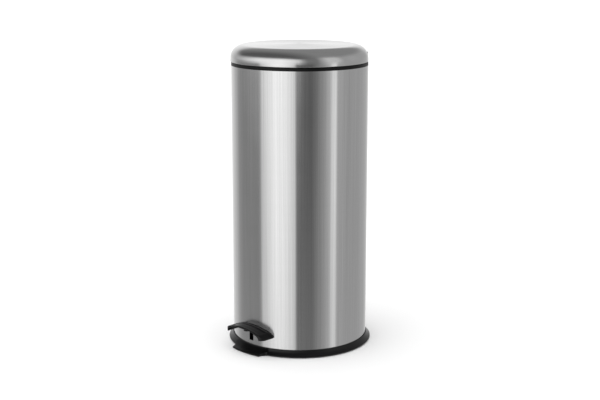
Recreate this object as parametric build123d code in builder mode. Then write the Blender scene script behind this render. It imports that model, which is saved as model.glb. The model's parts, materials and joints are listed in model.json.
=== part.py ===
from build123d import *
import os
from math import asin, cos, degrees, radians, sin, sqrt

os.makedirs("parts", exist_ok=True)

# A round step bin. Millimetres, +Z up, front of the bin towards -Y.
# The origin is on the floor, on the axis of the body.

# ---------------------------------------------------------------- driving sizes

overall_height = 650.0  # floor to the crown of the lid
body_radius = 146.5  # outside of the steel body
body_wall = 0.6
fit_gap = 0.3  # between pieces that slip together
running_gap = 0.05  # radial, shaft in a bush or guide
press_gap = 0.02  # radial, a bush or cap pushed home
hole_gap = 0.1  # radial, a fastener in its clearance hole

foot_height = 1.0  # how far the rubber feet stand below the ring
ring_height = 15.5
ring_flare = 10.0  # how far the ring stands out past the body
ring_ledge_height = 8.0  # shelf that carries the body and the base plate
ring_shelf_width = 18.5
tongue_reach = 23.0  # past the body, at the front
tongue_half_angle = 14.0
tongue_root_angle = 18.6

plate_thickness = 3.0
bracket_sheet = 2.0
axle_radius = 3.0
axle_y = -25.0
axle_height = 35.0
bush_wall = 2.0
hub_wall = 3.0
hub_half_width = 14.0

blade_thickness = 6.0  # the pedal lever is a plate on edge
blade_depth = 12.0
slot_play = 3.0  # each side of the blade, where it leaves the body
pedal_root_height = 50.0  # lever height where it passes through the body

pedal_reach = 28.5  # past the body
pedal_half_width = 59.0
pedal_rise = 10.0  # pedal's top above the lever where it meets the body
pedal_height = 21.0
pedal_leg_width = 10.0
pedal_skin = 4.5
pedal_gap = 1.5  # to the body

lid_opening = 80.0  # degrees
crank_radius = 18.0
hinge_height_below_lid_edge = -5.2
crank_inset = 8.5  # crank pin inside the body's outside, half way through its swing
hinge_pin_radius = 3.0
hinge_bush_wall = 2.0
crank_pin_radius = 2.5
link_play = 0.6  # up and down, crank pin in the rod's slot

rod_radius = 2.5
rod_inset = 7.5  # rod axis inside the body's outside
lower_pin_height = 20.0

lid_depth = 37.2  # lid edge to crown
lid_overhang = 0.8
lid_shift = -1.0  # the lid sits a touch to the front
lid_sheet = 0.7
lid_side = 7.7
lid_shoulder_run = 30.0
lid_liner_depth = 8.2  # lid edge up to the liner's underside
liner_thickness = 2.0
liner_edge_gap = 1.5  # the liner's rim clears the curve of the shoulder

rim_height = 7.2  # black band above the steel
lid_clearance = 0.6  # lid edge above the rim
rim_skirt = 25.0
rim_ledge_drop = 9.2  # bucket shelf below the top of the rim
rim_shelf_inset = 18.5
rim_wall_inset = 12.5

bucket_gap = 1.2
bucket_wall = 2.0
bucket_floor_height = 78.0
bucket_taper = 9.4
bucket_flange = 2.5
bail_wire = 1.8
bail_grip_radius = 3.4
bail_rise = 3.8  # wire above the flange
bail_inset = 3.8  # wire inside the flange's edge

housing_half_width = 46.0
housing_depth = 28.5  # past the body, as far as the pedal in front
housing_drop = 56.0  # below the rim
housing_cheek = 7.5  # round the hinge axis
finger_half_width = 38.0
finger_height = 36.0
finger_depth = 18.5
chamber_half_width = 15.5

damper_radius = 6.5
damper_bore = 5.5
damper_length = 90.0
damper_foot = 200.0
damper_x = 20.0
damper_rod_radius = 1.5

# ---------------------------------------------------------------- worked-out places

lid_edge = overall_height - lid_depth
rim_top = lid_edge - lid_clearance
body_top = rim_top - rim_height
body_bottom = ring_ledge_height
body_bore = body_radius - body_wall
hinge_y = body_radius + crank_radius - crank_inset
hinge_z = lid_edge - hinge_height_below_lid_edge
rod_y = body_radius - rod_inset
rod_lift = 2 * crank_radius * sin(radians(lid_opening / 2))
rear_arm = rod_y - axle_y
lever_angle = 2 * degrees(asin(rod_lift / 2 / rear_arm))
crank_y = hinge_y - crank_radius * cos(radians(lid_opening / 2))
crank_z = hinge_z - crank_radius * sin(radians(lid_opening / 2))
crank_mid_y = body_radius - crank_inset
pedal_top = pedal_root_height + pedal_rise
pedal_bottom = pedal_top - pedal_height
plate_top = ring_ledge_height + plate_thickness
bush_radius = axle_radius + running_gap + bush_wall
hub_radius = bush_radius + hub_wall
slot_half_width = blade_thickness / 2 + slot_play
lever_drop = (body_radius + axle_y) * sin(radians(lever_angle))
slot_top = pedal_root_height + blade_depth / 2 + slot_play
slot_bottom = pedal_root_height - blade_depth / 2 - lever_drop - slot_play
liner_under = lid_edge + lid_liner_depth
liner_radius = body_radius + lid_overhang - lid_sheet - liner_edge_gap
bucket_shelf = rim_top - rim_ledge_drop
bucket_flange_radius = body_radius - rim_wall_inset - bucket_gap
bucket_top_radius = body_radius - rim_shelf_inset - bucket_gap - 0.4
flange_top = bucket_shelf + bucket_flange
bail_radius = bucket_flange_radius - bail_inset
bail_z = flange_top + bail_rise
housing_bottom = rim_top - housing_drop
housing_back = body_radius + housing_depth
housing_top = hinge_z + housing_cheek
pedal_front = -(body_radius + pedal_reach)


def outline(plane, points):
    """A straight-sided face on the plane."""
    with BuildSketch(plane) as face:
        with BuildLine():
            Polyline(*points, close=True)
        make_face()
    return face.sketch


def on_body(x, radius=body_radius):
    """How far back a circle round the bin's axis lies at x."""
    return sqrt(radius**2 - x**2)


def pin(radius, low, high, mode=Mode.ADD):
    """A round bar along X from low to high, at the current location."""
    with Locations(((low + high) / 2, 0, 0)):
        Cylinder(radius, abs(high - low), rotation=(0, 90, 0), mode=mode)


def stud(radius, low, high, mode=Mode.ADD):
    """A round bar along Y from low to high, at the current location."""
    with Locations((0, (low + high) / 2, 0)):
        Cylinder(radius, abs(high - low), rotation=(90, 0, 0), mode=mode)


def post(radius, low, high, mode=Mode.ADD):
    """A round bar along Z from low to high, at the current location."""
    with Locations((0, 0, (low + high) / 2)):
        Cylinder(radius, abs(high - low), mode=mode)


# ---------------------------------------------------------------- base

foot_radius = 9.0
foot_recess = 2.0
feet_radius = body_radius - 5.5
tongue_foot = (0, -(body_radius + 12.0), 0)
tongue_foot_radius = 6.0
ring_bottom = foot_height
ring_bore = body_radius - ring_shelf_width
ring_edge = body_radius + ring_flare
lip_radius = body_radius + 2.0
heel_radius = 3.0
heel_inset = 0.88  # from the corner to the middle of the heel
slope_hollow = 4.6
screw_circle = body_radius - 12.0
screw_radius = 1.9
screw_head_radius = 3.6
screw_head_height = 2.6
screw_count = 6
screw_seat = ring_bottom + 3.0


def ring_section():
    """The foot ring's section, with a hollow slope outside and a rounded heel."""
    with BuildSketch(Plane.XZ) as face:
        with BuildLine():
            Polyline(
                (lip_radius, ring_height),
                (body_radius + fit_gap, ring_height),
                (body_radius + fit_gap, ring_ledge_height),
                (ring_bore, ring_ledge_height),
                (ring_bore, ring_bottom),
                (ring_edge - heel_radius, ring_bottom),
            )
            ThreePointArc(
                (ring_edge - heel_radius, ring_bottom),
                (ring_edge - heel_inset, ring_bottom + heel_inset),
                (ring_edge, ring_bottom + heel_radius),
            )
            ThreePointArc(
                (ring_edge, ring_bottom + heel_radius),
                (ring_edge - slope_hollow, ring_bottom + heel_radius + slope_hollow),
                (lip_radius, ring_height),
            )
        make_face()
    return face.sketch


def tongue_plan():
    """The front tongue in plan: an arc in front and swept-in sides."""
    front = body_radius + tongue_reach
    root = ring_edge - 1.0

    def at(radius, angle):
        return (radius * sin(radians(angle)), -radius * cos(radians(angle)))

    with BuildSketch() as face:
        with BuildLine():
            ThreePointArc(at(front, -tongue_half_angle), at(front, 0), at(front, tongue_half_angle))
            for side in (-1, 1):
                ThreePointArc(
                    at(front, side * tongue_half_angle),
                    at(ring_edge + 4.2, side * (tongue_root_angle - 3.1)),
                    at(root, side * tongue_root_angle),
                )
                Line(at(root, side * tongue_root_angle), (0, 0))
        make_face()
    return face.sketch


tongue_section = [
    (body_radius + 1.0, ring_bottom),
    (body_radius + 1.0, ring_height - 0.4),
    (body_radius + 9.0, ring_height - 6.6),
    (body_radius + tongue_reach - 2.0, ring_bottom + 3.0),
    (body_radius + tongue_reach, ring_bottom + 1.6),
    (body_radius + tongue_reach, ring_bottom),
]

with BuildPart() as base_ring:
    extrude(tongue_plan(), amount=ring_height)
    revolve(outline(Plane.XZ, tongue_section), axis=Axis.Z, mode=Mode.INTERSECT)
    revolve(ring_section(), axis=Axis.Z)
    with PolarLocations(feet_radius, 4, start_angle=45):
        post(foot_radius + fit_gap, 0, ring_bottom + foot_recess, Mode.SUBTRACT)
    with Locations(tongue_foot):
        post(tongue_foot_radius + fit_gap, 0, ring_bottom + foot_recess, Mode.SUBTRACT)
    with PolarLocations(screw_circle, screw_count):
        post(screw_radius + hole_gap, ring_bottom, ring_ledge_height, Mode.SUBTRACT)
        post(screw_head_radius + fit_gap, ring_bottom, screw_seat, Mode.SUBTRACT)
base_ring.part.label = "base_ring"
export_step(base_ring.part, "parts/base_ring.step")

with BuildPart() as rubber_feet:
    with PolarLocations(feet_radius, 4, start_angle=45):
        post(foot_radius, 0, ring_bottom + foot_recess)
    with Locations(tongue_foot):
        post(tongue_foot_radius, 0, ring_bottom + foot_recess)
rubber_feet.part.label = "rubber_feet"
export_step(rubber_feet.part, "parts/rubber_feet.step")

boss_height = 4.0
boss_radius = 4.5
plate_rib_radius = body_bore * 0.62
plate_rib_width = 2.5
plate_rib_height = 3.0
plate_rib_gap = 60.0  # room across the plate for the bracket and lever
rivet_radius = 2.0
rivet_x = 25.0
rivet_y = 9.0
rivet_head_height = 1.6
rivet_head_radius = rivet_radius + 1.8
with BuildPart() as base_plate:
    post(body_bore - fit_gap, ring_ledge_height, plate_top)
    post(plate_rib_radius, plate_top, plate_top + plate_rib_height)
    post(plate_rib_radius - plate_rib_width, plate_top, plate_top + plate_rib_height, Mode.SUBTRACT)
    with Locations((0, 0, plate_top + plate_rib_height / 2)):
        Box(2 * body_radius, plate_rib_gap, plate_rib_height, mode=Mode.SUBTRACT)
        Box(plate_rib_gap, 2 * body_radius, plate_rib_height, mode=Mode.SUBTRACT)
    with PolarLocations(screw_circle, screw_count):
        post(boss_radius, plate_top, plate_top + boss_height)
        post(screw_radius, ring_ledge_height, plate_top + boss_height, Mode.SUBTRACT)
    with Locations((0, axle_y, 0)):
        with GridLocations(2 * rivet_x, 2 * rivet_y, 2, 2):
            post(rivet_radius, ring_ledge_height, plate_top, Mode.SUBTRACT)
base_plate.part.label = "base_plate"
export_step(base_plate.part, "parts/base_plate.step")

cross_length = 4.4  # the driver's cross in each head
cross_width = 0.9
cross_depth = 1.4
with BuildPart() as base_screws:
    with PolarLocations(screw_circle, screw_count):
        post(screw_radius, screw_seat, plate_top + boss_height - 1.0)
        post(screw_head_radius, screw_seat - screw_head_height, screw_seat)
        with Locations((0, 0, screw_seat - screw_head_height + 0.6)):
            Box(cross_length, cross_width, cross_depth, mode=Mode.SUBTRACT)
            Box(cross_width, cross_length, cross_depth, mode=Mode.SUBTRACT)
base_screws.part.label = "base_screws"
export_step(base_screws.part, "parts/base_screws.step")

# ---------------------------------------------------------------- lever bearing

ear_x = hub_half_width + 2.0
ear_half_depth = 11.0
bracket_half_length = rivet_x + 6.0
bracket_half_depth = rivet_y + 6.0
with BuildPart() as lever_bracket:
    with Locations((0, axle_y, plate_top + bracket_sheet / 2)):
        Box(2 * bracket_half_length, 2 * bracket_half_depth, bracket_sheet)
    for side in (-1, 1):
        with Locations((side * (ear_x + bracket_sheet / 2), axle_y, (plate_top + axle_height) / 2)):
            Box(bracket_sheet, 2 * ear_half_depth, axle_height - plate_top)
        with Locations((0, axle_y, axle_height)):
            pin(ear_half_depth, side * ear_x, side * (ear_x + bracket_sheet))
    with Locations((0, axle_y, axle_height)):
        pin(axle_radius, -ear_x - bracket_sheet, ear_x + bracket_sheet, Mode.SUBTRACT)
    with Locations((0, axle_y, 0)):
        with GridLocations(2 * rivet_x, 2 * rivet_y, 2, 2):
            post(rivet_radius, plate_top, plate_top + bracket_sheet, Mode.SUBTRACT)
lever_bracket.part.label = "lever_bracket"
export_step(lever_bracket.part, "parts/lever_bracket.step")

rivet_seat_height = plate_top + bracket_sheet
with BuildPart() as bracket_rivets:
    with Locations((0, axle_y, 0)):
        with GridLocations(2 * rivet_x, 2 * rivet_y, 2, 2):
            post(rivet_radius, ring_ledge_height, rivet_seat_height)
            post(rivet_head_radius, rivet_seat_height, rivet_seat_height + rivet_head_height)
bracket_rivets.part.label = "bracket_rivets"
export_step(bracket_rivets.part, "parts/bracket_rivets.step")

axle_end = ear_x + bracket_sheet
clip_thickness = 0.9
axle_head = 1.8
axle_groove = axle_radius - 0.6
clip_radius = axle_radius + 2.4
with BuildPart() as lever_axle:
    with Locations((0, axle_y, axle_height)):
        pin(axle_radius, -axle_end - axle_head, axle_end + 3.0)
        pin(axle_radius + 2.2, -axle_end - axle_head, -axle_end)
        pin(axle_radius + 1.0, axle_end, axle_end + clip_thickness, Mode.SUBTRACT)
        pin(axle_groove, axle_end, axle_end + clip_thickness)
lever_axle.part.label = "lever_axle"
export_step(lever_axle.part, "parts/lever_axle.step")

with BuildPart() as axle_clip:
    with Locations((0, axle_y, axle_height)):
        pin(clip_radius, axle_end, axle_end + clip_thickness)
        pin(axle_groove, axle_end, axle_end + clip_thickness, Mode.SUBTRACT)
    with Locations((axle_end + clip_thickness / 2, axle_y, axle_height - axle_radius - 1.0)):
        Box(clip_thickness, 3.4, 2 * axle_radius, mode=Mode.SUBTRACT)
axle_clip.part.label = "axle_clip"
export_step(axle_clip.part, "parts/axle_clip.step")

with BuildPart() as lever_bush:
    with Locations((0, axle_y, axle_height)):
        pin(bush_radius, -hub_half_width, hub_half_width)
        for side in (-1, 1):
            pin(hub_radius - 0.8, side * hub_half_width, side * (hub_half_width + 1.2))
        pin(axle_radius + running_gap, -ear_x, ear_x, Mode.SUBTRACT)
lever_bush.part.label = "lever_bush"
export_step(lever_bush.part, "parts/lever_bush.step")

# ---------------------------------------------------------------- pedal lever and pedal

half_blade = blade_depth / 2
shoe_thickness = 2.0
shoe_half_width = 17.0
pedal_screw_pitch = 22.0
small_screw_radius = 1.5
small_head_radius = 3.0
small_head_height = 1.8
shoe_top = pedal_top - pedal_skin - 0.2
shoe_front = pedal_front + 9.0
shoe_back = -(body_radius + 4.5)
blade_tail = 4.6  # behind the lower pin
pin_slot_inward = 1.2
pin_slot_outward = 0.3
lever_nose = (shoe_front, shoe_top - shoe_thickness)
lever_section = [
    lever_nose,
    (shoe_front, shoe_top - shoe_thickness - 5.0),
    (-body_radius, pedal_root_height - half_blade),
    (axle_y, axle_height - half_blade),
    (rod_y + blade_tail, lower_pin_height - half_blade),
    (rod_y + blade_tail, lower_pin_height + half_blade),
    (axle_y, axle_height + half_blade),
    (shoe_back + 1.0, shoe_top - shoe_thickness),
]
with BuildPart() as pedal_lever:
    extrude(outline(Plane.YZ, lever_section), amount=blade_thickness / 2, both=True)
    with Locations((0, axle_y, axle_height)):
        pin(hub_radius, -hub_half_width, hub_half_width)
        pin(bush_radius + press_gap, -hub_half_width, hub_half_width, Mode.SUBTRACT)
    with Locations((0, (shoe_front + shoe_back) / 2, shoe_top - shoe_thickness / 2)):
        Box(2 * shoe_half_width, shoe_back - shoe_front, shoe_thickness)
    with Locations((0, rod_y + (pin_slot_outward - pin_slot_inward) / 2, lower_pin_height)):
        Box(
            blade_thickness,
            2 * crank_pin_radius + pin_slot_inward + pin_slot_outward,
            2 * (crank_pin_radius + fit_gap),
            mode=Mode.SUBTRACT,
        )
    with Locations((0, (shoe_front + shoe_back) / 2, 0)):
        with GridLocations(pedal_screw_pitch, 0, 2, 1):
            post(small_screw_radius + hole_gap, shoe_top - shoe_thickness, shoe_top, Mode.SUBTRACT)
pedal_lever.part.label = "pedal_lever"
export_step(pedal_lever.part, "parts/pedal_lever.step")

pedal_shoulder = pedal_half_width - 18.0  # where the top turns down into the legs
shoulder_drop = 7.0
leg_drop = 5.5  # further down, half way round the turn
pedal_rounding = 1.5  # at the foot of each leg


def pedal_section():
    """The pedal seen from the front: a low arch with two short legs."""
    leg_inside = pedal_half_width - pedal_leg_width - pedal_rounding
    roof = pedal_top - pedal_skin
    seat = shoe_half_width + 3.0
    with BuildSketch(Plane.XZ) as face:
        with BuildLine():
            ThreePointArc(
                (-pedal_shoulder, pedal_top - shoulder_drop),
                (0, pedal_top),
                (pedal_shoulder, pedal_top - shoulder_drop),
            )
            for side in (-1, 1):
                ThreePointArc(
                    (side * pedal_shoulder, pedal_top - shoulder_drop),
                    (side * (pedal_shoulder + 11.0), pedal_top - shoulder_drop - leg_drop),
                    (side * pedal_half_width, pedal_bottom + pedal_rounding),
                )
                Polyline(
                    (side * pedal_half_width, pedal_bottom + pedal_rounding),
                    (side * (pedal_half_width - pedal_rounding), pedal_bottom),
                    (side * leg_inside, pedal_bottom),
                )
                ThreePointArc(
                    (side * leg_inside, pedal_bottom),
                    (side * (leg_inside - 3.2), roof - 9.0),
                    (side * (leg_inside - 9.0), roof - 6.0),
                )
                ThreePointArc(
                    (side * (leg_inside - 9.0), roof - 6.0),
                    (side * (leg_inside - 18.0), roof - 2.4),
                    (side * seat, roof),
                )
            Line((-seat, roof), (seat, roof))
        make_face()
    return face.sketch


def pedal_plan():
    """The pedal in plan: a half moon that hugs the body."""
    with BuildSketch() as face:
        with BuildLine():
            Polyline(
                (-pedal_half_width, -(body_radius - 20)),
                (pedal_half_width, -(body_radius - 20)),
                (pedal_half_width, pedal_front + 17.0),
            )
            ThreePointArc(
                (pedal_half_width, pedal_front + 17.0),
                (pedal_half_width - 5.0, pedal_front + 8.0),
                (pedal_shoulder, pedal_front + 1.6),
            )
            ThreePointArc(
                (pedal_shoulder, pedal_front + 1.6),
                (0, pedal_front),
                (-pedal_shoulder, pedal_front + 1.6),
            )
            ThreePointArc(
                (-pedal_shoulder, pedal_front + 1.6),
                (-pedal_half_width + 5.0, pedal_front + 8.0),
                (-pedal_half_width, pedal_front + 17.0),
            )
            Line((-pedal_half_width, pedal_front + 17.0), (-pedal_half_width, -(body_radius - 20)))
        make_face()
    return face.sketch


with BuildPart() as pedal:
    extrude(pedal_section(), amount=body_radius + pedal_reach + 5.0)
    extrude(pedal_plan(), amount=pedal_top + 5.0, mode=Mode.INTERSECT)
    post(body_radius + pedal_gap, 0, 2 * pedal_top, Mode.SUBTRACT)
    with Locations((0, (shoe_front + shoe_back) / 2, 0)):
        with GridLocations(pedal_screw_pitch, 0, 2, 1):
            post(small_screw_radius, shoe_top, shoe_top + 2.4, Mode.SUBTRACT)
pedal.part.label = "pedal"
export_step(pedal.part, "parts/pedal.step")

screw_face = shoe_top - shoe_thickness
with BuildPart() as pedal_screws:
    with Locations((0, (shoe_front + shoe_back) / 2, 0)):
        with GridLocations(pedal_screw_pitch, 0, 2, 1):
            post(small_screw_radius, screw_face, shoe_top + 2.2)
            post(small_head_radius, screw_face - small_head_height, screw_face)
pedal_screws.part.label = "pedal_screws"
export_step(pedal_screws.part, "parts/pedal_screws.step")

# ---------------------------------------------------------------- push rod

cheek = 3.0
clevis_inside = blade_thickness / 2 + 0.6
clevis_top = lower_pin_height + half_blade + 6.0
blade_half = 2.5  # flat at the top of the rod
slot_front = crank_mid_y - crank_pin_radius - 0.4
slot_back = crank_y + crank_pin_radius + 0.4
head_front = slot_front - 1.6
head_back = slot_back + 1.6
head_half_height = crank_pin_radius + link_play + 3.6
with BuildPart() as push_rod:
    with Locations((0, rod_y, 0)):
        post(rod_radius, clevis_top, crank_z - head_half_height + 1.0)
    for side in (-1, 1):
        with Locations((side * (clevis_inside + cheek / 2), rod_y, lower_pin_height + 3.0)):
            Box(cheek, 9.0, 18.0)
    with Locations((0, rod_y, clevis_top)):
        Box(2 * (clevis_inside + cheek), 9.0, 4.0)
    with Locations((0, rod_y, lower_pin_height)):
        pin(crank_pin_radius, -clevis_inside - cheek, clevis_inside + cheek, Mode.SUBTRACT)
    with Locations((0, (head_front + head_back) / 2, crank_z)):
        Box(2 * blade_half, head_back - head_front, 2 * head_half_height)
    with Locations((0, (slot_front + slot_back) / 2, crank_z)):
        Box(
            2 * blade_half,
            slot_back - slot_front,
            2 * (crank_pin_radius + link_play),
            mode=Mode.SUBTRACT,
        )
push_rod.part.label = "push_rod"
export_step(push_rod.part, "parts/push_rod.step")

with BuildPart() as lever_pin:
    with Locations((0, rod_y, lower_pin_height)):
        pin(crank_pin_radius, -clevis_inside - cheek, clevis_inside + cheek)
        pin(crank_pin_radius + 1.2, -clevis_inside - cheek - 1.2, -clevis_inside - cheek)
        pin(crank_pin_radius + 1.2, clevis_inside + cheek, clevis_inside + cheek + 1.2)
lever_pin.part.label = "lever_pin"
export_step(lever_pin.part, "parts/lever_pin.step")

guide_half_width = 12.0
guide_half_height = 8.0
guide_depth = 13.0
guide_rivet_x = 8.0
guide_rivet_radius = 1.5
guide_rivet_head = guide_rivet_radius + 1.5
lower_guide_height = 140.0
upper_guide_height = body_top - rim_skirt - 50.0
guide_front = body_bore - guide_depth


def guide_block(height):
    """A guide block against the inside of the body, bored for the rod."""
    with Locations((0, guide_front + guide_depth / 2 + 2.0, height)):
        Box(2 * guide_half_width, guide_depth + 4.0, 2 * guide_half_height)
    post(body_bore - hole_gap, height - 20, height + 20, Mode.INTERSECT)
    with Locations((0, rod_y, 0)):
        post(rod_radius + running_gap, height - 20, height + 20, Mode.SUBTRACT)
    with Locations((guide_rivet_x, 0, height), (-guide_rivet_x, 0, height)):
        stud(guide_rivet_radius, guide_front, body_radius, Mode.SUBTRACT)


with BuildPart() as lower_rod_guide:
    guide_block(lower_guide_height)
lower_rod_guide.part.label = "lower_rod_guide"
export_step(lower_rod_guide.part, "parts/lower_rod_guide.step")

with BuildPart() as upper_rod_guide:
    guide_block(upper_guide_height)
upper_rod_guide.part.label = "upper_rod_guide"
export_step(upper_rod_guide.part, "parts/upper_rod_guide.step")

rivet_seat = on_body(guide_rivet_x)
with BuildPart() as guide_rivets:
    for height in (lower_guide_height, upper_guide_height):
        with Locations((guide_rivet_x, 0, height), (-guide_rivet_x, 0, height)):
            stud(guide_rivet_radius, guide_front, rivet_seat + 0.4)
            stud(guide_rivet_head, rivet_seat + 0.3, rivet_seat + 1.3)
guide_rivets.part.label = "guide_rivets"
export_step(guide_rivets.part, "parts/guide_rivets.step")

# ---------------------------------------------------------------- soft-close damper

damper_y = body_radius - 15.0
damper_top = damper_foot + damper_length
cap_height = 6.0
piston_foot = damper_foot + 5.0
piston_height = 7.0
arm_height = damper_top + 45.0
arm_thickness = 6.0
with BuildPart() as damper_cylinder:
    with Locations((damper_x, damper_y, 0)):
        post(damper_radius, damper_foot, damper_top)
        post(damper_bore, damper_foot + 3.0, damper_top, Mode.SUBTRACT)
damper_cylinder.part.label = "damper_cylinder"
export_step(damper_cylinder.part, "parts/damper_cylinder.step")

with BuildPart() as damper_cap:
    with Locations((damper_x, damper_y, 0)):
        post(damper_bore - press_gap, damper_top - cap_height, damper_top)
        post(damper_radius, damper_top, damper_top + 1.5)
        post(damper_rod_radius + running_gap, damper_top - cap_height, damper_top + 1.5, Mode.SUBTRACT)
damper_cap.part.label = "damper_cap"
export_step(damper_cap.part, "parts/damper_cap.step")

with BuildPart() as damper_rod:
    with Locations((damper_x, damper_y, 0)):
        post(damper_rod_radius, piston_foot, arm_height + arm_thickness / 2 + 2.0)
        post(damper_bore - hole_gap, piston_foot, piston_foot + piston_height)
damper_rod.part.label = "damper_rod"
export_step(damper_rod.part, "parts/damper_rod.step")

with BuildPart() as damper_arm:
    with BuildSketch(Plane.XY.offset(arm_height - arm_thickness / 2)):
        with Locations((0, rod_y)):
            Circle(rod_radius + 2.5)
        with Locations((damper_x, damper_y)):
            Circle(damper_rod_radius + 2.5)
        make_hull()
    extrude(amount=arm_thickness)
    with Locations((0, rod_y, 0)):
        post(rod_radius, arm_height - arm_thickness, arm_height + arm_thickness, Mode.SUBTRACT)
    with Locations((damper_x, damper_y, 0)):
        post(damper_rod_radius, arm_height - arm_thickness, arm_height + arm_thickness, Mode.SUBTRACT)
damper_arm.part.label = "damper_arm"
export_step(damper_arm.part, "parts/damper_arm.step")

clip_half_width = 9.5
clip_half_height = 7.0
clip_inset = 18.0  # from each end of the damper
with BuildPart() as damper_clips:
    for height in (damper_foot + clip_inset, damper_top - clip_inset):
        with Locations((damper_x, damper_y + 6.0, height)):
            Box(2 * clip_half_width, 18.0, 2 * clip_half_height)
    post(body_bore - hole_gap, damper_foot, damper_top, Mode.INTERSECT)
    with Locations((damper_x, damper_y, 0)):
        post(damper_radius, damper_foot, damper_top, Mode.SUBTRACT)
damper_clips.part.label = "damper_clips"
export_step(damper_clips.part, "parts/damper_clips.step")

# ---------------------------------------------------------------- rim, body, rear housing

notch_half_width = 10.0
notch_front = body_radius - rim_wall_inset - bucket_gap + fit_gap
notch_bottom = crank_z - head_half_height - 3.0
rim_lower = body_top - rim_skirt
rim_wall = body_radius - rim_wall_inset
rim_shelf = body_radius - rim_shelf_inset
rim_section = [
    (body_bore - fit_gap, rim_lower),
    (body_bore - fit_gap, body_top),
    (body_radius - 0.5, body_top),
    (body_radius - 0.5, rim_top - 0.8),
    (body_radius - 1.3, rim_top),
    (rim_wall + 0.8, rim_top),
    (rim_wall, rim_top - 0.8),
    (rim_wall, bucket_shelf),
    (rim_shelf, bucket_shelf),
    (rim_shelf, bucket_shelf - 3.0),
    (rim_wall + 2.5, bucket_shelf - 3.0),
    (rim_wall + 2.5, rim_top - 2.7),
    (body_bore - fit_gap - 3.0, rim_top - 2.7),
    (body_bore - fit_gap - 3.0, rim_lower),
]


def rear_notch():
    """Room at the back for the crank and the head of the rod."""
    with Locations((0, notch_front + 20.0, (notch_bottom + rim_top) / 2 + 5.0)):
        Box(2 * notch_half_width, 40.0, rim_top - notch_bottom + 10.0, mode=Mode.SUBTRACT)


with BuildPart() as top_rim:
    revolve(outline(Plane.XZ, rim_section), axis=Axis.Z)
    rear_notch()
top_rim.part.label = "top_rim"
export_step(top_rim.part, "parts/top_rim.step")

housing_screw_z = housing_bottom + 11.0
housing_screw_places = [(x, 0, housing_screw_z) for x in (-33.0, -14.0, 14.0, 33.0)]
with BuildPart() as body_shell:
    post(body_radius, body_bottom, body_top)
    post(body_bore, body_bottom, body_top, Mode.SUBTRACT)
    with Locations((0, -body_radius, (slot_top + slot_bottom) / 2)):
        Box(2 * slot_half_width, 20.0, slot_top - slot_bottom, mode=Mode.SUBTRACT)
    rear_notch()
    with Locations(*housing_screw_places):
        stud(screw_radius + hole_gap, body_radius - 20, body_radius + 10, Mode.SUBTRACT)
    for height in (lower_guide_height, upper_guide_height):
        with Locations((guide_rivet_x, 0, height), (-guide_rivet_x, 0, height)):
            stud(guide_rivet_radius + hole_gap, body_radius - 20, body_radius + 10, Mode.SUBTRACT)
body_shell.part.label = "body_shell"
export_step(body_shell.part, "parts/body_shell.step")

finger_front = body_radius + 5.0
saddle_top = rim_top - 0.6
housing_section = [
    (on_body(housing_half_width) - 2.0, housing_bottom),
    (housing_back - 6.0, housing_bottom),
    (housing_back, housing_bottom + 10.0),
    (housing_back, housing_top - 13.0),
    (housing_back - 3.5, housing_top - 4.5),
    (housing_back - 11.0, housing_top),
    (hinge_y - 3.6, housing_top),
    (hinge_y - housing_cheek, hinge_z + 3.6),
    (hinge_y - housing_cheek, saddle_top),
    (on_body(housing_half_width) - 2.0, saddle_top),
]
with BuildPart() as rear_housing:
    extrude(outline(Plane.YZ, housing_section), amount=housing_half_width, both=True)
    with BuildSketch():
        with Locations((0, housing_back - 30.0)):
            RectangleRounded(2 * housing_half_width, 60.0, 13.0)
    extrude(amount=housing_top + 10.0, mode=Mode.INTERSECT)
    post(body_radius + hole_gap, 0, saddle_top, Mode.SUBTRACT)
    with Locations((0, finger_front + finger_depth / 2, housing_bottom + finger_height / 2 - 1.0)):
        Box(2 * finger_half_width, finger_depth, finger_height + 2.0, mode=Mode.SUBTRACT)
    chamber_floor = notch_bottom
    with Locations((0, hinge_y - 4.0, (chamber_floor + housing_top) / 2 + 5.0)):
        Box(2 * chamber_half_width, 28.0, housing_top - chamber_floor + 10.0, mode=Mode.SUBTRACT)
    with Locations((0, hinge_y, hinge_z)):
        pin(hinge_pin_radius, -housing_half_width, housing_half_width, Mode.SUBTRACT)
    with Locations(*housing_screw_places):
        stud(screw_radius, body_radius - 20, finger_front, Mode.SUBTRACT)
rear_housing.part.label = "rear_housing"
export_step(rear_housing.part, "parts/rear_housing.step")

with BuildPart() as housing_screws:
    for place in housing_screw_places:
        seat = on_body(abs(place[0]) + screw_head_radius, body_bore)
        with Locations(place):
            stud(screw_radius, seat, finger_front - 0.5)
            stud(screw_head_radius, seat - screw_head_height, seat)
housing_screws.part.label = "housing_screws"
export_step(housing_screws.part, "parts/housing_screws.step")

# ---------------------------------------------------------------- lid

lid_axis = Axis((0, lid_shift, 0), (0, 0, 1))
lid_plane = Plane.XZ.offset(-lid_shift)
lid_radius = body_radius + lid_overhang
lid_crown = 2.0


def lid_section(inset):
    """Half of the lid's section, every side moved in by the inset."""
    side = lid_radius - inset
    top = overall_height - inset
    shoulder_foot = lid_edge + lid_side
    shoulder_top = top - lid_crown
    shoulder = side - lid_shoulder_run + inset
    with BuildSketch(lid_plane) as face:
        with BuildLine():
            Polyline(
                (0, top),
                (0, lid_edge - inset),
                (side, lid_edge - inset),
                (side, shoulder_foot),
            )
            EllipticalCenterArc(
                (shoulder, shoulder_foot),
                side - shoulder,
                shoulder_top - shoulder_foot,
                arc_size=90,
            )
            Spline(
                (shoulder, shoulder_top),
                (0, top),
                tangents=((-1, 0), (-1, 0)),
            )
        make_face()
    return face.sketch


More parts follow.
